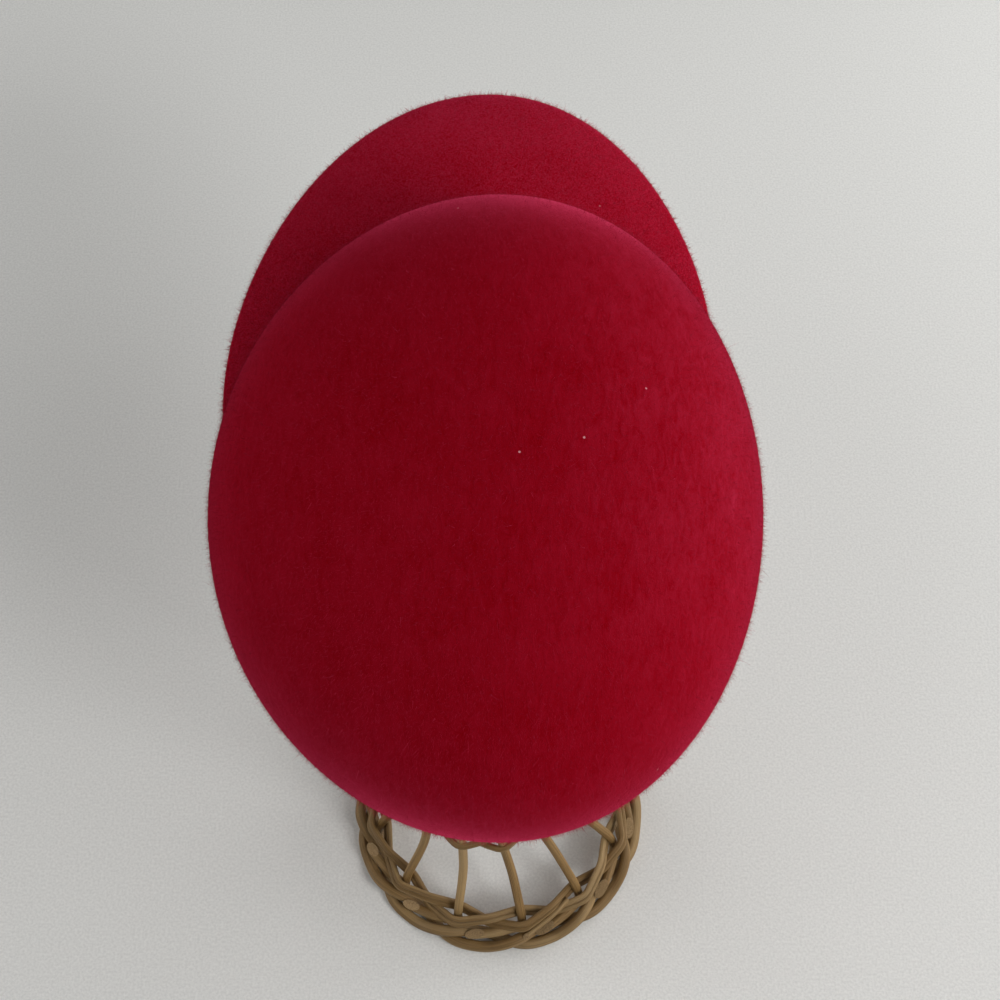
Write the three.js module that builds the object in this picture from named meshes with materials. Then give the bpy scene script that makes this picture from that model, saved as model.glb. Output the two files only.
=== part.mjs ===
// A felt cap with a peak, resting on a plain wicker stand.
// Millimetres, +Z up, floor at z = 0, the peak towards -Y.
import * as THREE from 'three';
import { LoftGeometry } from 'three/addons/geometries/LoftGeometry.js';

const degree = Math.PI / 180;
const fullTurn = 2 * Math.PI;
const up = new THREE.Vector3(0, 0, 1);

// The cap in its own frame: the rim lies about z = 0 and the crown is centred on the Z axis.
const felt = {
  wall: 2.5,
  halfWidth: 90.9,
  halfLength: 106.3,
  fullerRight: 0.027, // share by which the crown is fuller on its right than on its left
  lobes: 0.012, // share by which its plan swells and shrinks three times in a turn
  crownHeight: 128.7,
  widestHeight: 40.3,
  domeFullness: 2.05,
  rimTuck: 0.071,
  rimDip: 9, // how much lower the rim hangs at the ears than at the brow
  rimLip: 3,
  peakLength: 73.7,
  peakSpreadLeft: 84 * degree, // from the middle of the brow to where the peak runs out
  peakSpreadRight: 71 * degree,
  peakTaper: 2.06,
  peakSideReach: 0.34,
  peakSlope: 12.5 * degree,
  peakCurl: 5, // how far the middle of the peak bows up, halfway along its length
  cornerSize: 13,
};

// How the cap sits on the stand: leaning back and a little sideways, off the stand's axis.
const capPose = {
  lean: 19 * degree,
  sideLean: -2.2 * degree,
  turn: -0.8 * degree,
  x: 6.7,
  y: -19.1,
  rimHeight: 233.6,
};

// Grid of the cap's outer sheet: how many rows each stretch of a meridian has.
const capGrid = { columns: 48, dome: 8, wall: 3, corner: 2, peak: 4 };

// The wicker stand. Cane sizes are diameters, and sides and steps are how finely a cane is
// faceted round and along. out is the distance from the stand's axis, which leans a little
// above the foot and stands upright again above the waist.
const clearance = 0.3; // between the ribs and the hoop inside them
const standTurn = 11 * degree; // from the front to the first rib
const standSway = { x: 6, y: 6.3, from: 15, to: 90 };
const rib = { count: 12, cane: 3.9, sides: 6 };
const ribAngle = fullTurn / rib.count;
const ribProfile = [
  { height: 0, out: 54.4 },
  { height: 15, out: 54.4 },
  { height: 40, out: 40.2 },
  { height: 66, out: 32 },
  { height: 95, out: 36 },
  { height: 140, out: 48 },
  { height: 180, out: 57 },
  { height: 205, out: 62.6 },
  { height: 230, out: 73 },
  { height: 268, out: 80.8 },
  { height: 292, out: 77 },
  { height: 310, out: 68.8 },
  { height: 326, out: 56 },
  { height: 339.5, out: 38.2 },
];

// Two thick canes twisted round each other on the floor, crossing once at each rib.
// lead is how far the crossings lie from the ribs, bulge how far out they lie, in swings.
const footRope = {
  strands: 2,
  cane: 4.9,
  sides: 8,
  steps: 60,
  lag: 0,
  out: 59,
  swing: 3.35,
  bulge: 0.6,
  lift: 5.65,
  lead: -3 * degree,
};

// Short cut cane ends that lie in the hollows between the two thick canes, each from its free
// end, cut on a slant, to the end that is tucked in under the thin strands by the next rib.
const caneEnd = { cane: 4.4, sides: 6, steps: 3, cutSlope: 0.8 };
const caneEndFree = { turn: -6.5 * degree, out: 59, height: 10.1 };
const caneEndTucked = { turn: 12.5 * degree, out: 56, height: 9.3 };

// Rows of two thin strands twisted round the ribs, changing sides between ribs: two rows above
// the rope, laid into each other, and one row at the waist. pitch is from one row to the next,
// and lag how many steps past a rib a strand's first section is.
const weaver = {
  rows: 2,
  strands: 2,
  cane: 2.6,
  sides: 6,
  steps: 48,
  lag: 0.5,
  height: 16.9,
  pitch: 3.6,
  across: 5.15,
  rise: 3.6,
};
const waist = {
  strands: 2,
  cane: 2.9,
  sides: 6,
  steps: 48,
  lag: 0,
  height: 68,
  across: 4.5,
  rise: 1.8,
};

// Plain hoops: one inside the ribs at their widest, one just under their upper ends.
const midHoop = { cane: 3, sides: 6, steps: 36, lag: 0, height: 268 };
const topHoop = { cane: 4.4, sides: 6, steps: 24, lag: 0, out: 35.4, height: 335.8 };

const feltRed = { color: 0x9c1030, roughness: 0.95, metalness: 0 };
const caneTan = { color: 0x8f7448, roughness: 0.6, metalness: 0 };
const rodTan = { color: 0x7d643d, roughness: 0.65, metalness: 0 };

const stand = new THREE.Group();
const cap = new THREE.Group();
const model = new THREE.Group();

function addMesh(parent, name, geometry, finish) {
  const mesh = new THREE.Mesh(geometry, new THREE.MeshStandardMaterial(finish));
  mesh.name = name;
  parent.add(mesh);
  return mesh;
}

function numbered(word, index) {
  return `${word}_${String(index + 1).padStart(2, '0')}`;
}

// ---- The cap

// Point of the crown's outside, at a share of its plan size and a height.
function crownPoint(angle, share, height) {
  const uneven = share * (1 - felt.fullerRight * Math.sin(angle) - felt.lobes * Math.sin(3 * angle));
  const x = felt.halfWidth * uneven * Math.sin(angle);
  const y = -felt.halfLength * uneven * Math.cos(angle);
  return new THREE.Vector3(x, y, height);
}

function rimHeight(angle) {
  return -felt.rimDip * Math.sin(angle) ** 2;
}

// The dome is a superellipse in every upright section, from the apex to the widest level.
function domePoint(angle, fromApex) {
  const share = Math.sin(fromApex) ** (2 / felt.domeFullness);
  const rise = Math.cos(fromApex) ** (2 / felt.domeFullness);
  return crownPoint(angle, share, felt.widestHeight + (felt.crownHeight - felt.widestHeight) * rise);
}

// Below the widest level the wall tucks in towards the rim.
function wallPoint(angle, fall) {
  const height = THREE.MathUtils.lerp(felt.widestHeight, rimHeight(angle), fall);
  return crownPoint(angle, 1 - felt.rimTuck * fall * fall, height);
}

function peakWidth(angle) {
  const halfSpread = angle > 0 ? felt.peakSpreadLeft : felt.peakSpreadRight;
  const spread = Math.min(1, Math.abs(angle) / halfSpread);
  return felt.peakLength * (1 - spread ** felt.peakTaper);
}

// The way the felt runs on from the rim: out along the peak in front, on down elsewhere.
function peakDirection(angle, width) {
  const out = new THREE.Vector3(felt.peakSideReach * Math.sin(angle), -Math.cos(angle), 0);
  out.normalize().multiplyScalar(Math.cos(felt.peakSlope));
  out.z = -Math.sin(felt.peakSlope);
  const flare = THREE.MathUtils.smoothstep(width, 0, felt.cornerSize);
  const down = new THREE.Vector3(0, 0, -1);
  return down.lerp(out, flare).normalize();
}

// One meridian of the outer sheet, from the apex down to the cut edge.
function meridian(angle) {
  const points = [];
  for (let i = 0; i < capGrid.dome; i += 1) {
    points.push(domePoint(angle, (Math.PI / 2) * (i / capGrid.dome)));
  }
  const width = Math.max(felt.rimLip, peakWidth(angle));
  const corner = wallPoint(angle, 1);
  const direction = peakDirection(angle, peakWidth(angle));
  const size = Math.min(felt.cornerSize, width / 2);
  const cornerFall = 1 - size / felt.widestHeight;
  const cornerStart = wallPoint(angle, cornerFall);
  const cornerEnd = corner.clone().addScaledVector(direction, size);
  for (let i = 0; i < capGrid.wall; i += 1) {
    points.push(wallPoint(angle, (cornerFall * i) / capGrid.wall));
  }
  const bend = new THREE.QuadraticBezierCurve3(cornerStart, corner, cornerEnd);
  for (let i = 0; i < capGrid.corner; i += 1) {
    points.push(bend.getPoint(i / capGrid.corner));
  }
  for (let i = 0; i <= capGrid.peak; i += 1) {
    const along = i / capGrid.peak;
    const bow = 4 * along * (1 - along) * felt.peakCurl * (width / felt.peakLength) ** 2;
    const point = cornerEnd.clone().addScaledVector(direction, (width - size) * along);
    point.z += bow;
    points.push(point);
  }
  return points;
}

// The inner sheet follows the outer one at the wall's thickness, measured square to it.
function innerPoint(meridians, column, row) {
  if (row === 0) {
    return meridians[column][0].clone().addScaledVector(up, -felt.wall);
  }
  const count = meridians.length;
  const last = meridians[0].length - 1;
  const before = meridians[(column + count - 1) % count];
  const after = meridians[(column + 1) % count];
  const here = meridians[column];
  const across = after[row].clone().sub(before[row]);
  const along = here[Math.min(last, row + 1)].clone().sub(here[Math.max(0, row - 1)]);
  const inward = across.cross(along).normalize();
  return here[row].clone().addScaledVector(inward, felt.wall);
}

function capGeometry() {
  const meridians = [];
  for (let i = 0; i < capGrid.columns; i += 1) {
    const turnedBy = (fullTurn * i) / capGrid.columns;
    meridians.push(meridian(turnedBy > Math.PI ? turnedBy - fullTurn : turnedBy));
  }
  const rows = meridians[0].length;
  const sections = [];
  for (let row = 0; row < rows; row += 1) {
    sections.push(meridians.map((points, column) => innerPoint(meridians, column, row)));
  }
  for (let row = rows - 1; row >= 0; row -= 1) {
    sections.push(meridians.map((points) => points[row]));
  }
  return new LoftGeometry(sections);
}

addMesh(cap, 'felt_cap', capGeometry(), feltRed);
cap.rotation.set(-capPose.lean, capPose.sideLean, capPose.turn, 'ZXY');
cap.position.set(capPose.x, capPose.y, capPose.rimHeight);

// ---- Canes

// Distance from a cane's centre to the corners of its section, whose flat sides touch the circle.
function cornerRadius(kind) {
  return kind.cane / 2 / Math.cos(Math.PI / kind.sides);
}

// Section of a cane, square to the way it runs, with a flat side down where that way is level.
function caneSection(kind, centre, run, side) {
  const radius = cornerRadius(kind);
  const top = run.clone().cross(side);
  const points = [];
  for (let i = 0; i < kind.sides; i += 1) {
    const around = (fullTurn * (i + 0.5)) / kind.sides;
    const point = centre.clone();
    point.addScaledVector(side, radius * Math.sin(around));
    point.addScaledVector(top, -radius * Math.cos(around));
    points.push(point);
  }
  return points;
}

function outward(angle) {
  return new THREE.Vector3(Math.sin(angle), -Math.cos(angle), 0);
}

function roundwards(angle) {
  return new THREE.Vector3(Math.cos(angle), Math.sin(angle), 0);
}

function polarPoint(angle, out, height) {
  const sway = THREE.MathUtils.smoothstep(height, standSway.from, standSway.to);
  const point = new THREE.Vector3(standSway.x * sway, standSway.y * sway, height);
  return point.addScaledVector(outward(angle), out);
}

// A cane that closes on itself round the stand's axis. place(angle) says how far out and how high.
function ringCane(kind, place) {
  const sections = [];
  for (let i = 0; i <= kind.steps; i += 1) {
    const angle = standTurn + (fullTurn * ((i % kind.steps) + kind.lag)) / kind.steps;
    const { out, height } = place(angle);
    const centre = polarPoint(angle, out, height);
    sections.push(caneSection(kind, centre, roundwards(angle), outward(angle).negate()));
  }
  return new LoftGeometry(sections);
}

// ---- Ribs, from the floor through the waist to the top hoop

// The rib's foot is cut level, and its upper end square to the way it runs there.
function ribGeometry(angle) {
  const centres = ribProfile.map((row) => polarPoint(angle, row.out, row.height));
  const last = centres.length - 1;
  const sections = centres.map((centre, i) => {
    const run = centres[Math.min(last, i + 1)].clone().sub(centres[i === 0 ? 0 : i - 1]);
    if (i === 0) {
      run.copy(up);
    }
    const side = outward(angle).cross(run).normalize();
    return caneSection(rib, centre, run.normalize(), side);
  });
  return new LoftGeometry(sections, { capStart: true, capEnd: true });
}

function ribOut(height) {
  const row = ribProfile.findIndex((entry) => entry.height >= height);
  const below = ribProfile[row - 1];
  const above = ribProfile[row];
  const share = (height - below.height) / (above.height - below.height);
  return THREE.MathUtils.lerp(below.out, above.out, share);
}

for (let i = 0; i < rib.count; i += 1) {
  addMesh(stand, numbered('rib', i), ribGeometry(standTurn + ribAngle * i), rodTan);
}

// ---- Foot rope: the cane on its way in climbs over the one on its way out

for (let i = 0; i < footRope.strands; i += 1) {
  const place = (angle) => {
    const phase = (rib.count / 2) * (angle - standTurn - footRope.lead) + Math.PI * (i + 0.5);
    const climb = Math.max(0, Math.sin(phase)) ** 1.5;
    const across = Math.cos(phase) + footRope.bulge * Math.sin(phase) ** 2;
    const out = footRope.out + footRope.swing * across;
    return { out, height: footRope.cane / 2 + footRope.lift * climb };
  };
  addMesh(stand, numbered('foot_rope', i), ringCane(footRope, place), caneTan);
}

// ---- Cane ends, one between each two ribs

// middle is the direction of the middle of the hollow.
function caneEndGeometry(middle) {
  const sections = [];
  for (let i = 0; i <= caneEnd.steps; i += 1) {
    const share = i / caneEnd.steps;
    const along = (key) => THREE.MathUtils.lerp(caneEndFree[key], caneEndTucked[key], share);
    const at = middle + along('turn');
    const centre = polarPoint(at, along('out'), along('height'));
    const run = roundwards(at);
    const section = caneSection(caneEnd, centre, run, outward(at).negate());
    if (i === 0) {
      // the cut face is turned up
      const lowest = centre.z - caneEnd.cane / 2;
      section.forEach((point) => point.addScaledVector(run, caneEnd.cutSlope * (point.z - lowest)));
    }
    sections.push(section);
  }
  return new LoftGeometry(sections, { capStart: true, capEnd: true });
}

for (let i = 0; i < rib.count; i += 1) {
  const hollow = standTurn + footRope.lead + ribAngle * (i + 0.5);
  addMesh(stand, numbered('cane_end', i), caneEndGeometry(hollow), caneTan);
}

// ---- Strands woven round the ribs, above the rope and at the waist

// How far out and how high one strand of a row runs, for each direction from the axis.
function twistedPlace(kind, height, strand) {
  return (angle) => {
    const phase = (rib.count / 2) * (angle - standTurn) + Math.PI * strand;
    const out = ribOut(height) + kind.across * Math.cos(phase);
    return { out, height: height + kind.rise * Math.sin(phase) };
  };
}

for (let row = 0; row < weaver.rows; row += 1) {
  const height = weaver.height + weaver.pitch * row;
  for (let i = 0; i < weaver.strands; i += 1) {
    const name = numbered('weaver', weaver.strands * row + i);
    addMesh(stand, name, ringCane(weaver, twistedPlace(weaver, height, i)), caneTan);
  }
}

for (let i = 0; i < waist.strands; i += 1) {
  const place = twistedPlace(waist, waist.height, i);
  addMesh(stand, numbered('waist', i), ringCane(waist, place), caneTan);
}

// ---- Hoops

const midOut = ribOut(midHoop.height) - rib.cane / 2 - clearance - cornerRadius(midHoop);
addMesh(stand, 'mid_hoop', ringCane(midHoop, () => ({ ...midHoop, out: midOut })), rodTan);

addMesh(stand, 'top_hoop', ringCane(topHoop, () => topHoop), rodTan);

// The whole stands on the floor with the middle of its plan at the origin.
model.add(stand, cap);
model.updateMatrixWorld(true);
const bounds = new THREE.Box3().setFromObject(model, true);
const middle = bounds.getCenter(new THREE.Vector3());
model.position.set(-middle.x, -middle.y, -bounds.min.z);

export default model;
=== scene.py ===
import math
import random

import bpy
from mathutils import Matrix, Vector


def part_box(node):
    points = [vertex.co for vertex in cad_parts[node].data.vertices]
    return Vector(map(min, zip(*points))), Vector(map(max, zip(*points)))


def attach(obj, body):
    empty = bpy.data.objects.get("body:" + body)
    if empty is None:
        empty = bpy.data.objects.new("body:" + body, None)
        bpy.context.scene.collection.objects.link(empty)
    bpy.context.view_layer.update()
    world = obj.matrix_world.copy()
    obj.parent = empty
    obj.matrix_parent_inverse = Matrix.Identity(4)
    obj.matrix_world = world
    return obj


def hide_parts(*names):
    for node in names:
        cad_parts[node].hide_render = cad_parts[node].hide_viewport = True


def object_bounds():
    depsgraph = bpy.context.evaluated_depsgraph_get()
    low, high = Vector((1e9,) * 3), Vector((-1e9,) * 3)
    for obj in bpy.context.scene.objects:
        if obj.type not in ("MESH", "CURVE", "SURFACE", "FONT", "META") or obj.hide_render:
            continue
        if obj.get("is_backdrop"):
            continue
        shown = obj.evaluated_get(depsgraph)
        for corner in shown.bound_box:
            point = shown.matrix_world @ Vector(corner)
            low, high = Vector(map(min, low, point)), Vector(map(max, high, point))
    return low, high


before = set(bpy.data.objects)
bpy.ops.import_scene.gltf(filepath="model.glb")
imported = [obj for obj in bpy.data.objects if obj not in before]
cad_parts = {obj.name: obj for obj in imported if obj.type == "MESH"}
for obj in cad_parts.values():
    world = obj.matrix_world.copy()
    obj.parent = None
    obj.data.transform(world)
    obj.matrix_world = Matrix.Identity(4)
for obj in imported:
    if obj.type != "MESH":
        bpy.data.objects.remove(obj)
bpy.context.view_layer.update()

# A felt cap resting on a wicker hat stand. Metres, +Z up, the cap's peak towards -Y.

mm = 0.001
degree = math.pi / 180
fullTurn = 2 * math.pi
scene = bpy.context.scene

hoopLow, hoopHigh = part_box("mid_hoop")
standSway = {  # how far the stand leans aside and back, and the heights between which it does
    "across": Vector((6, 6.3, 0)) * mm,
    "from": 15 * mm,
    "to": 90 * mm,
}
standAxis = (hoopLow + hoopHigh) / 2 - standSway["across"]
standAxis.z = 0
print("frame loaded, the stand's axis stands at", tuple(round(v, 4) for v in standAxis))


# Small helpers

def numbered(word, count):
    return [f"{word}_{i + 1:02d}" for i in range(count)]


def smoothStep(value, low, high):
    share = min(1.0, max(0.0, (value - low) / (high - low)))
    return share * share * (3 - 2 * share)


def meshObject(name, points, faces=(), edges=()):
    mesh = bpy.data.meshes.new(name)
    mesh.from_pydata([tuple(point) for point in points], list(edges), list(faces))
    mesh.update()
    piece = bpy.data.objects.new(name, mesh)
    scene.collection.objects.link(piece)
    return piece


def storeFloats(piece, name, values):
    layer = piece.data.attributes.new(name, "FLOAT", "POINT")
    layer.data.foreach_set("value", values)


def storeVectors(piece, name, values):
    layer = piece.data.attributes.new(name, "FLOAT_VECTOR", "POINT")
    layer.data.foreach_set("vector", [part for value in values for part in value])


class Wiring:  # short words for adding and linking nodes
    def __init__(self, tree):
        self.tree = tree

    def feed(self, socket, value):
        if isinstance(value, bpy.types.NodeSocket):
            self.tree.links.new(value, socket)
        else:
            socket.default_value = value

    def add(self, kind, inputs=None, **settings):
        node = self.tree.nodes.new(kind)
        for key, value in settings.items():
            setattr(node, key, value)
        for key, value in (inputs or {}).items():
            self.feed(node.inputs[key], value)
        return node

    def math(self, operation, *values, clamp=False):
        node = self.add("ShaderNodeMath", operation=operation, use_clamp=clamp)
        for socket, value in zip(node.inputs, values):
            self.feed(socket, value)
        return node.outputs[0]

    def vector(self, operation, *values):
        node = self.add("ShaderNodeVectorMath", operation=operation)
        sockets = [node.inputs["Scale"]] if operation == "SCALE" else []
        sockets = [node.inputs[0]] + (sockets or list(node.inputs)[1:])
        for socket, value in zip(sockets, values):
            self.feed(socket, value)
        scalar = operation in ("LENGTH", "DOT_PRODUCT", "DISTANCE")
        return node.outputs["Value" if scalar else "Vector"]

    def xyz(self, x=0.0, y=0.0, z=0.0):
        return self.add("ShaderNodeCombineXYZ", {"X": x, "Y": y, "Z": z}).outputs[0]

    def split(self, vector):
        return self.add("ShaderNodeSeparateXYZ", {"Vector": vector}).outputs

    def noise(self, vector, scale, detail=2.0, roughness=0.5, distortion=0.0):
        return self.add(
            "ShaderNodeTexNoise",
            {"Vector": vector, "Scale": scale, "Detail": detail, "Roughness": roughness,
             "Distortion": distortion},
        ).outputs

    def mapRange(self, value, fromLow, fromHigh, low=0.0, high=1.0):
        inputs = {"Value": value, "From Min": fromLow, "From Max": fromHigh, "To Min": low, "To Max": high}
        return self.add("ShaderNodeMapRange", inputs).outputs[0]

    def mixColour(self, share, first, second, blend="MIX"):
        node = self.add("ShaderNodeMix", data_type="RGBA", blend_type=blend)
        self.feed(node.inputs[0], share)
        self.feed(node.inputs[6], first)
        self.feed(node.inputs[7], second)
        return node.outputs[2]

    def attribute(self, name):
        return self.add("ShaderNodeAttribute", attribute_name=name).outputs

    def bump(self, shader, height, strength, depth):
        made = self.add("ShaderNodeBump", {"Height": height, "Strength": strength, "Distance": depth})
        self.feed(shader.inputs["Normal"], made.outputs["Normal"])


class GeometryWiring(Wiring):  # the same for a Geometry Nodes tree with named inputs
    def __init__(self, name, inputs):
        super().__init__(bpy.data.node_groups.new(name, "GeometryNodeTree"))
        face = self.tree.interface
        face.new_socket("Geometry", in_out="INPUT", socket_type="NodeSocketGeometry")
        for title, kind in inputs.items():
            face.new_socket(title, in_out="INPUT", socket_type="NodeSocket" + kind)
        face.new_socket("Geometry", in_out="OUTPUT", socket_type="NodeSocketGeometry")
        self.ins = self.tree.nodes.new("NodeGroupInput").outputs
        self.position = self.tree.nodes.new("GeometryNodeInputPosition").outputs[0]

    def store(self, geometry, name, value, kind="FLOAT", domain="POINT"):
        node = self.add(
            "GeometryNodeStoreNamedAttribute",
            {"Geometry": geometry, "Name": name, "Value": value}, data_type=kind, domain=domain,
        )
        return node.outputs[0]

    def stored(self, name, kind="FLOAT"):
        return self.add("GeometryNodeInputNamedAttribute", {"Name": name}, data_type=kind).outputs[0]

    def move(self, geometry, offset):
        return self.add("GeometryNodeSetPosition", {"Geometry": geometry, "Offset": offset}).outputs[0]

    def finish(self, geometry):
        out = self.tree.nodes.new("NodeGroupOutput")
        self.tree.links.new(geometry, out.inputs[0])


def grow(piece, tree, values):  # runs a tree on a piece and keeps the result as its plain mesh
    modifier = piece.modifiers.new(tree.name, "NODES")
    modifier.node_group = tree
    for item in tree.interface.items_tree:
        if item.in_out == "INPUT" and item.name in values:
            modifier[item.identifier] = values[item.name]
    graph = bpy.context.evaluated_depsgraph_get()
    made = bpy.data.meshes.new_from_object(piece.evaluated_get(graph), depsgraph=graph)
    piece.modifiers.remove(modifier)
    old = piece.data
    piece.data = made
    made.name = piece.name
    bpy.data.meshes.remove(old)
    return piece


def newFinish(name):
    finish = bpy.data.materials.new(name)
    finish.use_nodes = True
    return finish, Wiring(finish.node_tree), finish.node_tree.nodes["Principled BSDF"]


# The felt: deep crimson, brushed from front to back on the crown and mottled on the peak. Light is painted
# into it: a paler, pinker painted sheen on the crown's right side, and lighter, pinker painted light on the
# whole peak

feltLook = {
    "deep": (0.24, 0.0006, 0.0045, 1),
    "raised": (0.30, 0.0040, 0.0145, 1),
    "paintedSideSheen": (0.335, 0.0115, 0.0330, 1),  # painted light and sheen, paler and pinker, on the crown's right side where the lamps fall
    "paintedSheenAcross": (-15 * mm, -85 * mm),
    "paintedSheenAlong": (90 * mm, 10 * mm),
    # the peak's two nap tones carry painted light: lighter and pinker than the crown's, for the light and
    # sheen the peak catches
    "litPeakDeep": (0.355, 0.0002, 0.0070, 1),
    "litPeakRaised": (0.49, 0.0135, 0.0420, 1),
    "lint": (0.62, 0.25, 0.28, 1),
    "sheen": (1.0, 0.085, 0.22, 1),
    "sheenWeight": 0.68,
    "sheenRoughness": 0.32,
    "streakAcross": 420.0,  # nap streaks for each metre, across and along the brushing
    "streakAlong": 170.0,
    "streakRange": (0.28, 0.72),  # the narrower, the stronger the streaks
    "mottle": 900.0,
    "mottleRange": (0.37, 0.63),
    "grain": 2600.0,
    "grainShare": (0.8, 4.0),  # on the crown and on the peak
    "cloud": 60.0,
    "cloudShare": 0.25,
    "roughness": (0.88, 0.98),
    "napDepth": 0.18 * mm,
    "napStrength": 0.7,
    "lintPlaces": 160.0,
    "lintShare": 0.015,  # share of the places with a speck of lint
    "lintSize": 0.06,
}


def feltFinish():
    finish, wiring, shader = newFinish("felt")
    look = feltLook
    place = wiring.add("ShaderNodeTexCoord").outputs["Object"]
    napPlace = wiring.attribute("napPlace")["Vector"]
    peak = wiring.attribute("peakShare")["Fac"]
    scale = (look["streakAcross"], look["streakAlong"], look["streakAcross"])
    streaky = wiring.add("ShaderNodeMapping", {"Vector": napPlace, "Scale": scale}).outputs[0]
    streaks = wiring.mapRange(wiring.noise(streaky, 1.0, 5.0, 0.75, 0.8)[0], *look["streakRange"])
    mottle = wiring.mapRange(wiring.noise(place, look["mottle"], 3.0, 0.7, 1.6)[0], *look["mottleRange"])
    grain = wiring.math("SUBTRACT", wiring.noise(place, look["grain"], 1.0)[0], 0.5)
    cloud = wiring.noise(place, look["cloud"])[0]
    nap = wiring.add("ShaderNodeMix", {0: peak, 2: streaks, 3: mottle}).outputs[0]
    fine = wiring.math("MULTIPLY", grain, wiring.mapRange(peak, 0.0, 1.0, *look["grainShare"]))
    nap = wiring.math("ADD", nap, fine)
    cloudy = wiring.mapRange(cloud, 0.2, 0.8, -look["cloudShare"], look["cloudShare"])
    tone = wiring.math("ADD", nap, cloudy)
    across, along = wiring.split(napPlace)[:2]
    # painted light and sheen: the crown is coloured paler and pinker towards its right side, fading out
    # towards the back
    paintedSideSheen = wiring.math("MULTIPLY", wiring.mapRange(across, *look["paintedSheenAcross"]),
                          wiring.mapRange(along, *look["paintedSheenAlong"]))
    raised = wiring.mixColour(paintedSideSheen, look["raised"], look["paintedSideSheen"])
    crown = wiring.mixColour(tone, look["deep"], raised)
    # painted light: the same felt is coloured lighter and pinker on the peak than on the crown
    onPeak = wiring.mixColour(tone, look["litPeakDeep"], look["litPeakRaised"])
    colour = wiring.mixColour(peak, crown, onPeak)
    speck = wiring.add("ShaderNodeTexVoronoi", {"Vector": place, "Scale": look["lintPlaces"]}).outputs
    rare = wiring.math("LESS_THAN", wiring.split(speck["Color"])[0], look["lintShare"])
    small = wiring.math("LESS_THAN", speck["Distance"], look["lintSize"])
    colour = wiring.mixColour(wiring.math("MULTIPLY", rare, small), colour, look["lint"])
    wiring.feed(shader.inputs["Base Color"], colour)
    wiring.feed(shader.inputs["Roughness"], wiring.mapRange(nap, 0.0, 1.0, *look["roughness"]))
    shader.inputs["Specular IOR Level"].default_value = 0.0
    shader.inputs["Sheen Weight"].default_value = look["sheenWeight"]
    shader.inputs["Sheen Roughness"].default_value = look["sheenRoughness"]
    shader.inputs["Sheen Tint"].default_value = look["sheen"]
    wiring.bump(shader, nap, look["napStrength"], look["napDepth"])
    return finish


# The cap, first in its own frame: the rim lies about z = 0 and the crown stands on the Z axis

capSizes = {
    "wall": 2.5 * mm,
    "halfWidth": 90.9 * mm,
    "halfLength": 106.3 * mm,
    "fullerRight": 0.027,  # share by which the crown is fuller on its right than on its left
    "lobes": 0.012,  # share by which it bulges at three places round it
    "crownHeight": 128.7 * mm,
    "widestHeight": 40.3 * mm,
    "domeFullness": 2.05,  # 2 is a plain half ellipse
    "rimTuck": 0.071,  # share by which the rim draws in below the widest ring
    "rimDip": 9 * mm,  # how much lower the rim hangs at the ears than at the brow
    "rimLip": 3 * mm,
    "peakLength": 73.7 * mm,
    "peakSpreadLeft": 84 * degree,
    "peakSpreadRight": 71 * degree,
    "peakTaper": 2.06,
    "peakSideReach": 0.34,
    "peakSlope": 12.5 * degree,
    "peakCurl": 5 * mm,
    "cornerSize": 13 * mm,
    "edgeRound": 0.4 * mm,
    "lean": 19 * degree,  # the cap leans back on the stand, and a little sideways
    "sideLean": -2.2 * degree,
    "turn": -0.8 * degree,
    "place": (6.7 * mm, -19.1 * mm, 233.6 * mm),
    "columns": 240,
    "domeRows": 56,
    "wallRows": 16,
    "cornerRows": 12,
    "peakRows": 22,
    "edgeRows": [0.05, 0.2, 0.5, 0.8, 0.95],  # shares of the wall, across the cut edge
    "napHeight": 20 * mm,  # the brushing runs round a line across the cap at this height
    "napRadius": 100 * mm,
}


def crownPoint(angle, share, height):
    uneven = 1 - capSizes["fullerRight"] * math.sin(angle) - capSizes["lobes"] * math.sin(3 * angle)
    share *= uneven
    return Vector((
        capSizes["halfWidth"] * share * math.sin(angle),
        -capSizes["halfLength"] * share * math.cos(angle),
        height,
    ))


def domePoint(angle, fromApex):
    share = math.sin(fromApex) ** (2 / capSizes["domeFullness"])
    rise = max(0.0, math.cos(fromApex)) ** (2 / capSizes["domeFullness"])
    low, high = capSizes["widestHeight"], capSizes["crownHeight"]
    return crownPoint(angle, share, low + (high - low) * rise)


def wallPoint(angle, fall):
    rim = -capSizes["rimDip"] * math.sin(angle) ** 2
    height = capSizes["widestHeight"] + (rim - capSizes["widestHeight"]) * fall
    return crownPoint(angle, 1 - capSizes["rimTuck"] * fall * fall, height)


def peakWidth(angle):
    halfSpread = capSizes["peakSpreadLeft"] if angle > 0 else capSizes["peakSpreadRight"]
    spread = min(1.0, abs(angle) / halfSpread)
    return capSizes["peakLength"] * (1 - spread ** capSizes["peakTaper"])


def peakDirection(angle, width):
    out = Vector((capSizes["peakSideReach"] * math.sin(angle), -math.cos(angle), 0)).normalized()
    out *= math.cos(capSizes["peakSlope"])
    out.z = -math.sin(capSizes["peakSlope"])
    flare = smoothStep(width, 0, capSizes["cornerSize"])
    return Vector((0, 0, -1)).lerp(out, flare).normalized()


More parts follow.
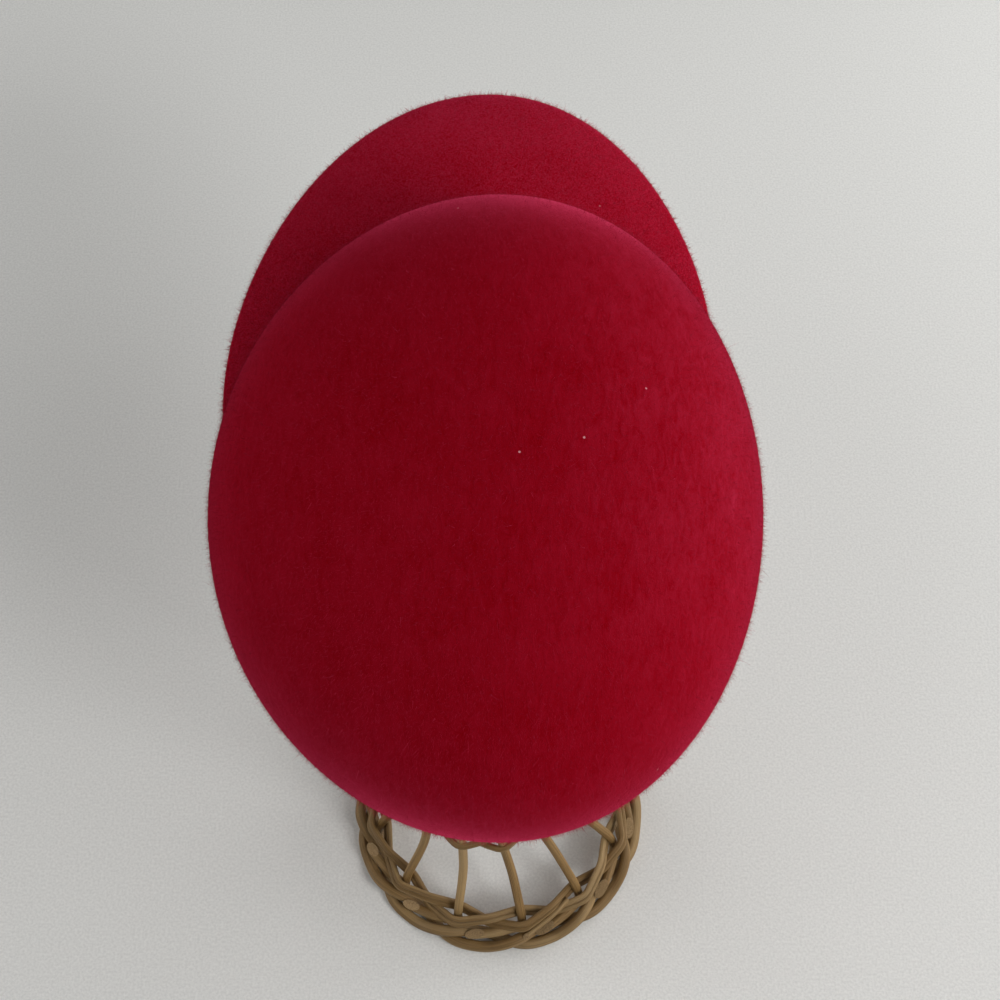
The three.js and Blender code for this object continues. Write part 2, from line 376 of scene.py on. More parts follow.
def meridian(angle):  # from the apex down to the cut edge, with each point's share of the peak
    points = [domePoint(angle, math.pi / 2 * i / capSizes["domeRows"]) for i in range(capSizes["domeRows"])]
    shares = [0.0] * len(points)
    peak = peakWidth(angle)
    width = max(capSizes["rimLip"], peak)
    size = min(capSizes["cornerSize"], width / 2)
    corner = wallPoint(angle, 1)
    direction = peakDirection(angle, peak)
    cornerFall = 1 - size / capSizes["widestHeight"]
    start = wallPoint(angle, cornerFall)
    end = corner + direction * size
    flare = smoothStep(peak, 0, capSizes["cornerSize"])
    for i in range(capSizes["wallRows"]):
        points.append(wallPoint(angle, cornerFall * i / capSizes["wallRows"]))
        shares.append(0.0)
    for i in range(capSizes["cornerRows"]):
        t = i / capSizes["cornerRows"]
        points.append(start * (1 - t) ** 2 + corner * 2 * t * (1 - t) + end * t * t)
        shares.append(flare * smoothStep(t, 0.3, 1))
    for i in range(capSizes["peakRows"] + 1):
        t = i / capSizes["peakRows"]
        point = end + direction * (width - size) * t
        point.z += 4 * t * (1 - t) * capSizes["peakCurl"] * (width / capSizes["peakLength"]) ** 2
        points.append(point)
        shares.append(flare)
    return points, shares


def makeCap(finish):
    count = capSizes["columns"]
    angles = [fullTurn * i / count for i in range(count)]
    made = [meridian(angle if angle <= math.pi else angle - fullTurn) for angle in angles]
    outer = [column for column, shares in made]
    last = len(outer[0]) - 1
    inner = []
    for row in range(1, last + 1):
        ring = []
        for i in range(count):
            across = outer[(i + 1) % count][row] - outer[i - 1][row]
            along = outer[i][min(last, row + 1)] - outer[i][row - 1]
            ring.append(outer[i][row] + across.cross(along).normalized() * capSizes["wall"])
        inner.append(ring)
    # each row has its points, its row on the outside, and 0 for the outside to 1 for the inside
    rows = [([column[row] for column in outer], row, 0.0) for row in range(1, last + 1)]
    for t in capSizes["edgeRows"]:
        ring = []
        for i in range(count):
            top, under = outer[i][last], inner[-1][i]
            outwards = (top - outer[i][last - 1]).normalized()
            ring.append(top.lerp(under, t) + outwards * capSizes["edgeRound"] * (1 - (2 * t - 1) ** 4))
        rows.append((ring, last, t))
    rows += [(inner[row - 1], row, 1.0) for row in range(last, 0, -1)]
    points, peakShare, inside = [outer[0][0]], [0.0], [0.0]
    for ring, row, side in rows:
        points += ring
        peakShare += [made[i][1][row] for i in range(count)]
        inside += [side] * count
    points.append(outer[0][0] - Vector((0, 0, capSizes["wall"])))
    peakShare.append(0.0)
    inside.append(1.0)
    faces = [(0, 1 + i, 1 + (i + 1) % count) for i in range(count)]
    for row in range(len(rows) - 1):
        low = 1 + row * count
        for i in range(count):
            j = (i + 1) % count
            faces.append((low + i, low + count + i, low + count + j, low + j))
    tip, low = len(points) - 1, 1 + (len(rows) - 1) * count
    faces += [(tip, low + (i + 1) % count, low + i) for i in range(count)]
    turns = [math.atan2(point.y, point.z - capSizes["napHeight"]) for point in points]
    reaches = [math.hypot(point.y, point.z - capSizes["napHeight"]) for point in points]
    napPlace = [(p.x, turn * capSizes["napRadius"], reach) for p, turn, reach in zip(points, turns, reaches)]
    placed = Matrix.Translation(standAxis + Vector(capSizes["place"]))
    for angle, axis in ((capSizes["turn"], "Z"), (-capSizes["lean"], "X"), (capSizes["sideLean"], "Y")):
        placed = placed @ Matrix.Rotation(angle, 4, axis)
    cap = meshObject("felt_cap_body", [placed @ point for point in points], faces)
    storeFloats(cap, "peakShare", peakShare)
    storeFloats(cap, "inside", inside)
    storeVectors(cap, "napPlace", napPlace)
    turning = placed.to_3x3()
    storeVectors(cap, "napWay", [turning @ Vector((0, math.cos(turn), -math.sin(turn))) for turn in turns])
    cap.data.shade_smooth()
    cap.data.materials.append(finish)
    return cap


felt = feltFinish()
cap = makeCap(felt)
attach(cap, "root")
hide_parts("felt_cap")
print("cap made,", len(cap.data.polygons), "faces")


# Fine fibres that stand off the felt, leaning the way it is brushed

fuzzLook = {
    # Each fibre's shade runs at random from dark to pale, up to its patch's palest shade. The pale end is far
    # paler and pinker than the felt: partly the fibres' own varied tone, partly a painted glow for light
    # shining through them, strongest on the peak and its edge
    "dark": (0.27, 0.0020, 0.010, 1),
    "pale": (0.50, 0.045, 0.100, 1),
    "roughness": 0.9,
    "sheenWeight": 0.5,
    "sheenRoughness": 0.6,
    "tipWidth": 0.15,  # share of a fibre's width that is left at its tip
    "curve": 0.4,
    "lengths": (0.35, 1.35),
    "patches": {  # where, fibres, length and width in millimetres, lean, scatter, seed, palest shade, rows
        "felt_fuzz_near": ("crown", 46000, 1.6, 0.065, 0.4, 0.8, 11, 0.5, 3),
        "felt_fuzz_fine": ("crown", 46000, 1.0, 0.055, 0.4, 0.9, 12, 0.5, 3),
        "felt_fuzz_long": ("crown", 6000, 2.2, 0.075, 0.4, 0.9, 16, 0.45, 3),
        "felt_fuzz_peak": ("peak", 46000, 1.0, 0.11, 0.0, 0.9, 13, 1.0, 3),
        "felt_fuzz_edge": ("edge", 12000, 2.0, 0.12, 0.0, 0.8, 15, 1.0, 3),
        "felt_fuzz_stray": ("all", 800, 3.6, 0.08, 0.3, 0.8, 14, 1.0, 5),
    },
}


def fuzzFinish():
    finish, wiring, shader = newFinish("felt_fibre")
    shade = wiring.attribute("hairShade")["Fac"]
    # painted glow: the paler fibres are coloured brighter than the felt they stand on
    wiring.feed(shader.inputs["Base Color"], wiring.mixColour(shade, fuzzLook["dark"], fuzzLook["pale"]))
    shader.inputs["Roughness"].default_value = fuzzLook["roughness"]
    shader.inputs["Specular IOR Level"].default_value = 0.0
    shader.inputs["Sheen Weight"].default_value = fuzzLook["sheenWeight"]
    shader.inputs["Sheen Roughness"].default_value = fuzzLook["sheenRoughness"]
    shader.inputs["Sheen Tint"].default_value = feltLook["sheen"]
    return finish


def fuzzTree():
    wiring = GeometryWiring("fuzz", {
        "Density": "Float", "Length": "Float", "Width": "Float", "Lean": "Float", "Scatter": "Float",
        "Rows": "Int", "Seed": "Int", "Palest": "Float", "Finish": "Material",
    })
    ins = wiring.ins

    def anyBetween(low, high, shift, kind="FLOAT"):
        seed = wiring.math("ADD", ins["Seed"], float(shift))
        first, out = (0, 0) if kind == "FLOAT_VECTOR" else (2, 1)  # the sockets of this kind
        inputs = {"Seed": seed, first: low, first + 1: high}
        return wiring.add("FunctionNodeRandomValue", inputs, data_type=kind).outputs[out]

    spread = wiring.add("GeometryNodeDistributePointsOnFaces", {
        "Mesh": ins["Geometry"], "Density": ins["Density"], "Seed": ins["Seed"]})
    blade = wiring.add("GeometryNodeMeshGrid", {
        "Size X": 1.0, "Size Y": 1.0, "Vertices X": 2, "Vertices Y": ins["Rows"]}).outputs[0]
    x, y = wiring.split(wiring.position)[:2]
    share = wiring.math("ADD", y, 0.5)
    narrow = wiring.math("MULTIPLY", x, wiring.mapRange(share, 0.0, 1.0, 1.0, fuzzLook["tipWidth"]))
    bend = wiring.math("MULTIPLY", wiring.math("MULTIPLY", share, share), fuzzLook["curve"])
    blade = wiring.add("GeometryNodeSetPosition", {
        "Geometry": blade, "Position": wiring.xyz(narrow, bend, share)}).outputs[0]
    nap = wiring.vector("SCALE", wiring.stored("napWay", "FLOAT_VECTOR"), ins["Lean"])
    anyWay = anyBetween((-1, -1, -1), (1, 1, 1), 1, "FLOAT_VECTOR")
    stray = wiring.vector("SCALE", anyWay, ins["Scatter"])
    way = wiring.vector("ADD", wiring.vector("ADD", spread.outputs["Normal"], nap), stray)
    turned = wiring.add("FunctionNodeAlignRotationToVector", {"Vector": way}, axis="Z").outputs[0]
    rolled = wiring.xyz(0.0, 0.0, anyBetween(0.0, fullTurn, 2))
    turned = wiring.add("FunctionNodeRotateRotation", {"Rotation": turned, "Rotate By": rolled},
                        rotation_space="LOCAL").outputs[0]
    reach = wiring.math("MULTIPLY", ins["Length"], anyBetween(*fuzzLook["lengths"], 3))
    hairs = wiring.add("GeometryNodeInstanceOnPoints", {
        "Points": spread.outputs["Points"], "Instance": blade, "Rotation": turned,
        "Scale": wiring.xyz(ins["Width"], reach, reach)}).outputs[0]
    shade = wiring.math("MULTIPLY", anyBetween(0.0, 1.0, 4), ins["Palest"])
    hairs = wiring.store(hairs, "hairShade", shade, domain="INSTANCE")
    hairs = wiring.add("GeometryNodeRealizeInstances", {"Geometry": hairs}).outputs[0]
    hairs = wiring.add("GeometryNodeSetMaterial", {"Geometry": hairs, "Material": ins["Finish"]}).outputs[0]
    wiring.finish(hairs)
    return wiring.tree


def capSkin(name, where):  # the part of the cap's skin for one patch of fibres to grow on
    mesh = cap.data
    inside = [item.value for item in mesh.attributes["inside"].data]
    onPeak = [item.value for item in mesh.attributes["peakShare"].data]
    ways = [item.vector.copy() for item in mesh.attributes["napWay"].data]
    faces = []
    for face in mesh.polygons:
        corners = list(face.vertices)
        sides = [inside[corner] for corner in corners]
        outer, edge = max(sides) < 0.6, min(sides) > 0 and max(sides) < 1
        peak = min(onPeak[corner] for corner in corners) > 0.5
        if {"crown": outer and not peak, "peak": outer and peak, "edge": edge, "all": outer}[where]:
            faces.append(corners)
    used = sorted({corner for corners in faces for corner in corners})
    renumbered = {old: new for new, old in enumerate(used)}
    points = [mesh.vertices[old].co.copy() for old in used]
    skin = meshObject(name, points, [[renumbered[corner] for corner in corners] for corners in faces])
    storeVectors(skin, "napWay", [ways[old] for old in used])
    return skin


def makeFuzz():
    finish, tree = fuzzFinish(), fuzzTree()
    for name, patch in fuzzLook["patches"].items():
        where, hairs, length, width, lean, scatter, seed, palest, rows = patch
        skin = capSkin(name, where)
        area = sum(face.area for face in skin.data.polygons)
        grow(skin, tree, {
            "Density": hairs / area, "Length": length * mm, "Width": width * mm, "Lean": lean,
            "Scatter": scatter, "Rows": rows, "Seed": seed, "Palest": palest, "Finish": finish,
        })
        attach(skin, "root")
        print(name, "made,", len(skin.data.polygons), "faces on", round(area * 1e4), "cm2")


makeFuzz()


# The wicker stand: canes swept along paths round its axis

rattanLook = {
    "bark": (0.31, 0.185, 0.066, 1),
    "barkDark": (0.075, 0.037, 0.009, 1),
    "barkPale": (0.50, 0.350, 0.170, 1),
    "pith": (0.42, 0.280, 0.135, 1),
    "pithDark": (0.17, 0.100, 0.040, 1),
    "light": {"cane": 1.0, "rod": 1.25},
    "grain": (10.0, 30.0),  # patches round a cane and for each metre along it
    "grainRange": (0.32, 0.62),
    "tone": (0.3, 6.0),
    "toneRange": (0.45, 0.75, 0.0, 0.6),  # the last two are the least and most pale bark
    "fleck": (9.0, 160.0),
    "fleckRange": (0.66, 0.78, 0.0, 0.55),
    "fibre": (26.0, 9.0),
    "fibreShade": (0.66, 1.22),  # how much the fine lines along a cane darken or lighten it
    "roughness": (0.6, 0.46),
    "specular": 0.3,
    "reliefDepth": 0.2 * mm,
    "reliefStrength": 0.7,
    "caneShift": 13.7,  # how far the pattern moves on from one cane to the next
    "pithPores": 2600.0,
    "poreRange": (0.36, 0.52),
    "pithRoughness": 0.85,
    "poreStrength": 0.6,
}


def caneNoise(wiring, pattern, detail, roughness=0.5):  # runs with a cane and differs from cane to cane
    around, along = rattanLook[pattern]
    roundAt = wiring.vector("SCALE", wiring.attribute("roundAt")["Vector"], around)
    way = wiring.math("MULTIPLY", wiring.attribute("along")["Fac"], along)
    number = wiring.math("MULTIPLY", wiring.attribute("caneNumber")["Fac"], rattanLook["caneShift"])
    there = wiring.vector("ADD", roundAt, wiring.xyz(0.0, number, wiring.math("ADD", way, number)))
    return wiring.noise(there, 1.0, detail, roughness)[0]


def rattanFinish(name, light):
    finish, wiring, shader = newFinish(name)
    look = rattanLook
    grain = caneNoise(wiring, "grain", 5.0, 0.75)
    fleck = caneNoise(wiring, "fleck", 2.0)
    tone = caneNoise(wiring, "tone", 1.0)
    fibres = caneNoise(wiring, "fibre", 2.0)
    colour = wiring.mixColour(wiring.mapRange(grain, *look["grainRange"]), look["barkDark"], look["bark"])
    colour = wiring.mixColour(wiring.mapRange(tone, *look["toneRange"]), colour, look["barkPale"])
    colour = wiring.mixColour(wiring.mapRange(fleck, *look["fleckRange"]), colour, look["barkDark"])
    dark, pale = look["fibreShade"]
    shade = wiring.mapRange(fibres, 0.3, 0.7, dark * light, pale * light)
    colour = wiring.mixColour(1.0, colour, wiring.xyz(shade, shade, shade), "MULTIPLY")
    wiring.feed(shader.inputs["Base Color"], colour)
    wiring.feed(shader.inputs["Roughness"], wiring.mapRange(grain, 0.3, 0.7, *look["roughness"]))
    shader.inputs["Specular IOR Level"].default_value = look["specular"]
    relief = wiring.math("ADD", grain, fibres)
    wiring.bump(shader, relief, look["reliefStrength"], look["reliefDepth"])
    return finish


def pithFinish():
    finish, wiring, shader = newFinish("cane_cut")
    place = wiring.add("ShaderNodeTexCoord").outputs["Object"]
    pores = wiring.noise(place, rattanLook["pithPores"], 2.0, 0.6)[0]
    share = wiring.mapRange(pores, *rattanLook["poreRange"])
    wiring.feed(shader.inputs["Base Color"],
                wiring.mixColour(share, rattanLook["pithDark"], rattanLook["pith"]))
    shader.inputs["Roughness"].default_value = rattanLook["pithRoughness"]
    wiring.bump(shader, pores, rattanLook["poreStrength"], rattanLook["reliefDepth"])
    return finish


caneShape = {
    "driftPlaces": 22.0,  # bends for each metre where a cane wanders off its path
    "ridgePlaces": 60.0,  # changes of thickness for each metre along it
    "ridgeAround": 2.2,
    "driftShift": 3.7,  # how far both move on from one cane to the next
}


def caneTree():
    wiring = GeometryWiring("canes", {
        "Thickness": "Float", "Sides": "Int", "Step": "Float", "Wander": "Float", "Ridge": "Float",
        "Seed": "Float", "Cut slope": "Float", "Cut reach": "Float", "Bark": "Material", "Pith": "Material",
    })
    ins = wiring.ins
    curve = wiring.add("GeometryNodeMeshToCurve", {"Mesh": ins["Geometry"]}).outputs[0]
    curve = wiring.add(
        "GeometryNodeResampleCurve", {"Curve": curve, "Length": ins["Step"]}, mode="LENGTH").outputs[0]

    # the centre line wanders a little, and the ring that is swept along it keeps what the finish reads
    number = wiring.math("MULTIPLY", wiring.stored("caneNumber"), caneShape["driftShift"])
    number = wiring.math("ADD", number, ins["Seed"])
    there = wiring.vector("SCALE", wiring.position, caneShape["driftPlaces"])
    there = wiring.vector("ADD", there, wiring.xyz(number, 0.0, number))
    drift = wiring.vector("SUBTRACT", wiring.noise(there, 1.0, 1.0)[1], (0.5, 0.5, 0.5))
    curve = wiring.move(curve, wiring.vector("SCALE", drift, ins["Wander"]))
    along = wiring.add("GeometryNodeSplineParameter").outputs["Length"]
    run = wiring.add("GeometryNodeInputTangent").outputs[0]
    curve = wiring.store(curve, "along", along)
    curve = wiring.store(curve, "runWay", run, "FLOAT_VECTOR")
    curve = wiring.store(curve, "centreHeight", wiring.split(wiring.position)[2])
    half = wiring.math("MULTIPLY", ins["Thickness"], 0.5)
    ring = wiring.add("GeometryNodeCurvePrimitiveCircle", {"Resolution": ins["Sides"], "Radius": half})
    roundAt = wiring.vector("NORMALIZE", wiring.position)
    ring = wiring.store(ring.outputs[0], "roundAt", roundAt, "FLOAT_VECTOR")
    tube = wiring.add(
        "GeometryNodeCurveToMesh", {"Curve": curve, "Profile Curve": ring, "Fill Caps": True}).outputs[0]

    # uneven thickness
    way = wiring.math("MULTIPLY", wiring.stored("along"), caneShape["ridgePlaces"])
    turn = wiring.vector("SCALE", wiring.stored("roundAt", "FLOAT_VECTOR"), caneShape["ridgeAround"])
    there = wiring.vector("ADD", turn, wiring.xyz(0.0, number, way))
    ridge = wiring.math("SUBTRACT", wiring.noise(there, 1.0)[0], 0.5)
    ridge = wiring.math("MULTIPLY", ridge, ins["Ridge"])
    normal = wiring.add("GeometryNodeInputNormal").outputs[0]
    tube = wiring.move(tube, wiring.vector("SCALE", normal, ridge))

    # the first end is cut on a slope: the higher a point lies, the further it slides along
    height = wiring.split(wiring.position)[2]
    above = wiring.math("SUBTRACT", height, wiring.stored("centreHeight"))
    above = wiring.math("ADD", above, half)
    reach = wiring.math("DIVIDE", wiring.stored("along"), ins["Cut reach"])
    nearCut = wiring.math("SUBTRACT", 1.0, reach, clamp=True)
    shift = wiring.math("MULTIPLY", wiring.math("MULTIPLY", above, ins["Cut slope"]), nearCut)
    tube = wiring.move(tube, wiring.vector("SCALE", wiring.stored("runWay", "FLOAT_VECTOR"), shift))

    # only the end faces have more than four corners: they stay flat and show the pith
    corners = wiring.add("GeometryNodeInputMeshFaceNeighbors").outputs["Vertex Count"]
    isCut = wiring.add("FunctionNodeCompare", {2: corners, 3: 4}, data_type="INT", operation="GREATER_THAN")
    isCut = isCut.outputs[0]
    isSide = wiring.add("FunctionNodeBooleanMath", {0: isCut}, operation="NOT").outputs[0]
    tube = wiring.add("GeometryNodeRealizeInstances", {"Geometry": tube}).outputs[0]
    tube = wiring.add("GeometryNodeSetShadeSmooth", {"Geometry": tube, "Shade Smooth": isSide}).outputs[0]
    tube = wiring.add("GeometryNodeSetMaterial", {"Geometry": tube, "Material": ins["Bark"]}).outputs[0]
    tube = wiring.add(
        "GeometryNodeSetMaterial", {"Geometry": tube, "Selection": isCut, "Material": ins["Pith"]}).outputs[0]
    wiring.finish(tube)
    return wiring.tree


ribRows = [  # height and distance from the stand's axis, in millimetres
    (0, 54.4), (15, 54.4), (40, 40.2), (66, 32), (95, 36), (140, 48), (180, 57), (205, 62.6),
    (230, 73), (268, 80.8), (292, 77), (310, 68.8), (326, 56), (339.5, 38.2),
]
standSizes = {
    "turn": 11 * degree,  # from the front to the first rib
    "ribs": 12,
    "step": 2.0 * mm,  # between the points of a path
}
ribAngle = fullTurn / standSizes["ribs"]


def polarPoint(angle, out, height):
    sway = standSway["across"] * smoothStep(height, standSway["from"], standSway["to"])
    return standAxis + sway + Vector((math.sin(angle) * out, -math.cos(angle) * out, height))


def ribOut(height):  # how far from the axis the ribs stand at a height
    for (below, near), (above, far) in zip(ribRows, ribRows[1:]):
        if height <= above * mm:
            return (near + (far - near) * (height / mm - below) / (above - below)) * mm
    return ribRows[-1][1] * mm


def roundedPath(corners, step, reach):  # evenly spaced points along a line whose corners are eased
    points = []
    for first, second in zip(corners, corners[1:]):
        count = max(1, round((second - first).length / step))
        points += [first.lerp(second, i / count) for i in range(count)]
    points.append(corners[-1])
    span = round(reach / step)
    eased = []
    for i in range(len(points)):
        room = min(span, i, len(points) - 1 - i)
        near = points[i - room:i + room + 1]
        eased.append(sum(near, Vector()) / len(near))
    return eased


def roundedRing(corners, step, reach):  # the same for a line that closes on itself
    points = []
    for first, second in zip(corners, corners[1:] + corners[:1]):
        count = max(1, round((second - first).length / step))
        points += [first.lerp(second, i / count) for i in range(count)]
    span = max(1, round(reach / step))
    around = range(-span, span + 1)
    count = len(points)
    return [sum((points[(i + k) % count] for k in around), Vector()) / len(around) for i in range(count)]


def caneLines(name, paths, closed):  # the canes' centre lines as one object of edges
    points, edges, numbers = [], [], []
    for k, path in enumerate(paths):
        first = len(points)
        points += path
        edges += [(first + i, first + i + 1) for i in range(len(path) - 1)]
        if closed:
            edges.append((first + len(path) - 1, first))
        numbers += [float(k)] * len(path)
    lines = meshObject(name, points, edges=edges)
    storeFloats(lines, "caneNumber", numbers)
    return lines


rattan = {slot: rattanFinish("rattan_" + slot, light) for slot, light in rattanLook["light"].items()}
pith = pithFinish()
canes = caneTree()


caneSizes = {  # what a row of canes has where its own look doesn't say otherwise
    "sides": 14, "step": 1.6 * mm, "wander": 0.8 * mm, "ridge": 0.18 * mm,
    "cutSlope": 0.0, "cutReach": 7 * mm,
}


def makeCanes(name, paths, closed, nodes, slot, look):
    look = {**caneSizes, **look}
    piece = grow(caneLines(name, paths, closed), canes, {
        "Thickness": look["cane"], "Sides": look["sides"], "Step": look["step"], "Wander": look["wander"],
        "Ridge": look["ridge"], "Seed": look["seed"], "Cut slope": look["cutSlope"],
        "Cut reach": look["cutReach"], "Bark": rattan[slot], "Pith": pith,
    })
    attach(piece, "root")
    if nodes:
        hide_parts(*nodes)
    print(name, "made,", len(piece.data.polygons), "faces")


def ringPath(place, count):
    turns = [standSizes["turn"] + fullTurn * i / count for i in range(count)]
    return [polarPoint(angle, *place(angle)) for angle in turns]


# Ribs, from the floor through the waist to the top hoop

ribLook = {"cane": 3.9 * mm, "sides": 12, "step": 2.5 * mm, "wander": 0.6 * mm, "ease": 8 * mm, "seed": 1.0}


def ribPath(angle):
    corners = [polarPoint(angle, out * mm, height * mm) for height, out in ribRows]
    return roundedPath(corners, standSizes["step"], ribLook["ease"])


ribTurns = [standSizes["turn"] + ribAngle * i for i in range(standSizes["ribs"])]
makeCanes("stand_ribs", [ribPath(angle) for angle in ribTurns], False, numbered("rib", 12), "rod", ribLook)


# Foot rope: two thick canes twisted round each other, the one on its way in climbing over

ropeLook = {
    "cane": 4.9 * mm,
    "sides": 16,
    "out": 59 * mm,  # from the stand's axis to the middle of the two
    "swing": 3.35 * mm,  # how far each goes in and out of that
    "bulge": 0.6,
    "lift": 5.65 * mm,  # how high one climbs over the other
    "climb": 1.5,  # the higher, the shorter the climb
    "lead": -3 * degree,
    "points": 240,
    "seed": 2.0,
}


def ropePath(strand):
    def place(angle):
        turn = angle - standSizes["turn"] - ropeLook["lead"]
        phase = standSizes["ribs"] / 2 * turn + math.pi * (strand + 0.5)
        climb = max(0.0, math.sin(phase)) ** ropeLook["climb"]
        swing = math.cos(phase) + ropeLook["bulge"] * math.sin(phase) ** 2
        out = ropeLook["out"] + ropeLook["swing"] * swing
        return out, ropeLook["cane"] / 2 + ropeLook["lift"] * climb
    return ringPath(place, ropeLook["points"])


makeCanes("stand_rope", [ropePath(0), ropePath(1)], True, numbered("foot_rope", 2), "cane", ropeLook)


# Short cut cane ends in the hollows between the thick canes, from the free end to the tucked one

endLook = {
    "cane": 4.4 * mm,
    "sides": 16,
    "free": (-7 * degree, 60.3 * mm, 10.6 * mm),  # turn, distance from the axis, height
    "tucked": (16.5 * degree, 55.5 * mm, 9.4 * mm),
    "cutSlope": 1.9,
    "cutReach": 15 * mm,
    "points": 14,
    "step": 1.2 * mm,
    "seed": 3.0,
}


def endPath(hollow):
    free, tucked = Vector(endLook["free"]), Vector(endLook["tucked"])
    rows = [free.lerp(tucked, i / endLook["points"]) for i in range(endLook["points"] + 1)]
    return [polarPoint(hollow + turn, out, height) for turn, out, height in rows]


endTurns = [angle + ropeLook["lead"] + ribAngle / 2 for angle in ribTurns]
endPaths = [endPath(angle) for angle in endTurns]
makeCanes("stand_ends", endPaths, False, numbered("cane_end", 12), "cane", endLook)


# Rows of two thin strands twisted round the ribs: two rows above the rope and one at the waist

weaverLook = {
    "cane": 2.7 * mm,
    "sides": 12,
    "height": 14 * mm,
    "pitch": 3 * mm,  # from the lower row to the upper
    "across": 4.1 * mm,  # how far a strand goes in and out of the ribs, and up and down between them
    "rise": 3.2 * mm,
    "shift": 0.6 * mm,
    "uneven": 0.45 * mm,
    "wander": 0.7 * mm,
    "ease": 2.8 * mm,
    "seed": 4.0,
}
waistLook = {
    "cane": 2.9 * mm,
    "sides": 12,
    "height": 68 * mm,
    "across": 3.8 * mm,
    "rise": 1.7 * mm,
    "shift": 0.0,
    "uneven": 0.2 * mm,
    "wander": 0.5 * mm,
    "ease": 3 * mm,
    "seed": 5.0,
}


def weaverPath(look, height, strand, chance):  # bends at the ribs and runs straight between them
    corners = []
    for i in range(2 * standSizes["ribs"]):
        phase = math.pi / 2 * i + math.pi * strand
        uneven = chance.uniform(-look["uneven"], look["uneven"])
        across = look["across"] * math.cos(phase) + look["shift"] + (uneven if i % 2 else 0)
        rise = look["rise"] * math.sin(phase) + uneven
        angle = standSizes["turn"] + ribAngle / 2 * i
        corners.append(polarPoint(angle, ribOut(height) + across, height + rise))
    return roundedRing(corners, standSizes["step"] / 2, look["ease"])


def makeWeavers(name, look, heights, nodes):
    chance = random.Random(int(look["seed"]))
    paths = [weaverPath(look, height, strand, chance) for height in heights for strand in range(2)]
    makeCanes(name, paths, True, nodes, "cane", look)


weaverHeights = [weaverLook["height"], weaverLook["height"] + weaverLook["pitch"]]
makeWeavers("stand_weavers", weaverLook, weaverHeights, numbered("weaver", 4))
makeWeavers("stand_waist", waistLook, [waistLook["height"]], numbered("waist", 2))


# The cut end of the last strand woven in, left lying on the rope

tailLook = {
    "cane": 2.5 * mm,
    "sides": 12,
    "step": 1 * mm,
    "wander": 0.2 * mm,
    "cutSlope": 1.2,
    "seed": 8.0,
    "points": 0.5 * mm,  # between the points of its path
    "ease": 3 * mm,
    "run": [  # turn in degrees, distance from the axis and height in millimetres
        (190, 62.2, 11.7), (197, 59, 13.4), (205, 57, 15.6), (214, 54.2, 16.8),
    ],
}
tailCorners = [polarPoint(turn * degree, out * mm, height * mm) for turn, out, height in tailLook["run"]]
tailPath = roundedPath(tailCorners, tailLook["points"], tailLook["ease"])
makeCanes("stand_tail", [tailPath], False, [], "cane", tailLook)


# Two hoops that the cap hides: one inside the ribs where they are widest, one under their ends

hoopLook = {
    "mid_hoop": {"cane": 3 * mm, "points": 96, "seed": 6.0},
    "top_hoop": {"cane": 4.4 * mm, "points": 96, "seed": 7.0},
}
for name, look in hoopLook.items():
    low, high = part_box(name)
    out = (high.x - low.x - look["cane"]) / 2
    height = (low.z + high.z) / 2
    hoopPath = ringPath(lambda angle: (out, height), look["points"])
    makeCanes("stand_" + name, [hoopPath], True, [name], "rod", look)


# Camera, floor and light

cameraSizes = {
    "lens": 67.2,
    "aside": -0.7 * mm,
    "behind": 292 * mm,  # from the stand's axis, towards the back of the cap
    "height": 813 * mm,
    "down": 60.7 * degree,
}


def makeCamera():
    data = bpy.data.cameras.new("camera")
    data.lens = cameraSizes["lens"]
    camera = bpy.data.objects.new("camera", data)
    camera.location = standAxis + Vector((cameraSizes["aside"], cameraSizes["behind"], cameraSizes["height"]))
    camera.rotation_euler = (math.pi / 2 - cameraSizes["down"], 0, math.pi)
    scene.collection.objects.link(camera)
    scene.camera = camera


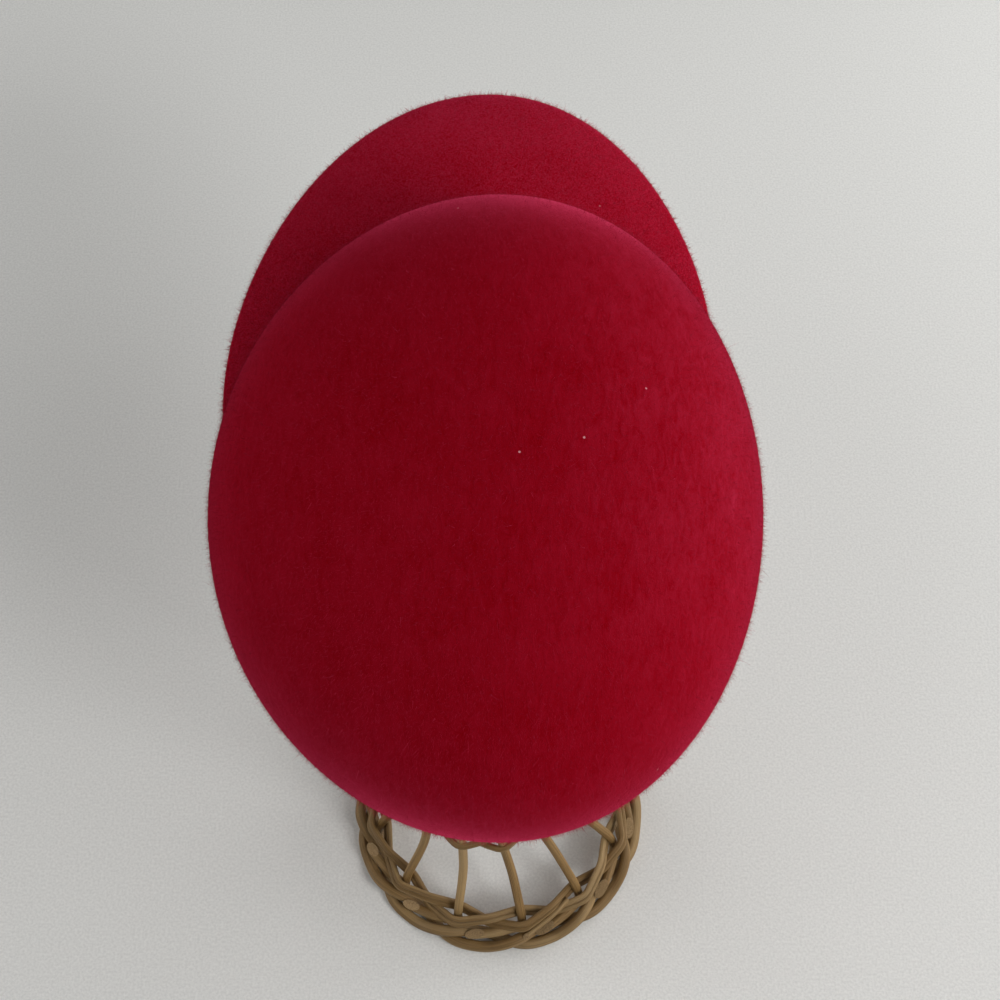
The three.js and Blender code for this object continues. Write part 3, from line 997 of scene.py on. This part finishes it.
roomLook = {
    "halfSize": 4.0,
    "floor": (0.83, 0.83, 0.803, 1),
    "floorDark": (0.705, 0.705, 0.682, 1),
    "paperGrain": 900.0,
    "grainDepth": 0.15 * mm,
    "grainStrength": 0.5,
    "roughness": 0.85,
    "air": (1.0, 1.0, 0.98, 1),
    "airPower": 0.03,
    "lamps": [  # name, place, size, power: soft discs that all face the middle of the floor
        ("right_back", (-1.08, 1.03, 1.27), 0.6, 12.1),
        ("right_back_high", (-1.0, 0.58, 1.48), 1.1, 5.8),
        ("right", (-1.76, 0.0, 0.81), 1.3, 4.3),
        ("right_front_low", (-1.1, -0.64, 0.37), 0.8, 7.4),
        ("right_front_near", (-0.43, -0.75, 0.70), 0.5, 0.6),
        ("left_back", (1.0, 0.58, 1.48), 1.1, 3.9),
        ("left_front", (1.53, -0.88, 0.81), 1.3, 9.6),
        ("right_low", (-1.5, 0.1, 0.42), 0.8, 3.0),
        ("left_low", (1.5, 0.1, 0.42), 0.8, 3.4),
    ],
}


def makeRoom():
    finish, wiring, shader = newFinish("floor")
    place = wiring.add("ShaderNodeTexCoord").outputs["Object"]
    grain = wiring.noise(place, roomLook["paperGrain"], 2.0, 0.6)[0]
    tone = wiring.mapRange(grain, 0.3, 0.7)
    wiring.feed(shader.inputs["Base Color"], wiring.mixColour(tone, roomLook["floorDark"], roomLook["floor"]))
    shader.inputs["Roughness"].default_value = roomLook["roughness"]
    wiring.bump(shader, grain, roomLook["grainStrength"], roomLook["grainDepth"])
    half = roomLook["halfSize"]
    corners = [(-half, -half, 0), (half, -half, 0), (half, half, 0), (-half, half, 0)]
    floor = meshObject("floor", corners, [(0, 1, 2, 3)])
    floor.data.materials.append(finish)
    floor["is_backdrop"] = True
    world = bpy.data.worlds.new("air")
    world.use_nodes = True
    air = world.node_tree.nodes["Background"].inputs
    air["Color"].default_value = roomLook["air"]
    air["Strength"].default_value = roomLook["airPower"]
    scene.world = world
    for name, spot, size, power in roomLook["lamps"]:
        data = bpy.data.lights.new(name, "AREA")
        data.shape, data.size, data.energy = "DISK", size, power
        lamp = bpy.data.objects.new(name, data)
        lamp.location = spot
        lamp.rotation_euler = Vector(spot).to_track_quat("Z", "Y").to_euler()
        scene.collection.objects.link(lamp)
    scene.view_settings.view_transform = "Standard"


makeCamera()
makeRoom()
print("camera, floor and light made")

low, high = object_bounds()
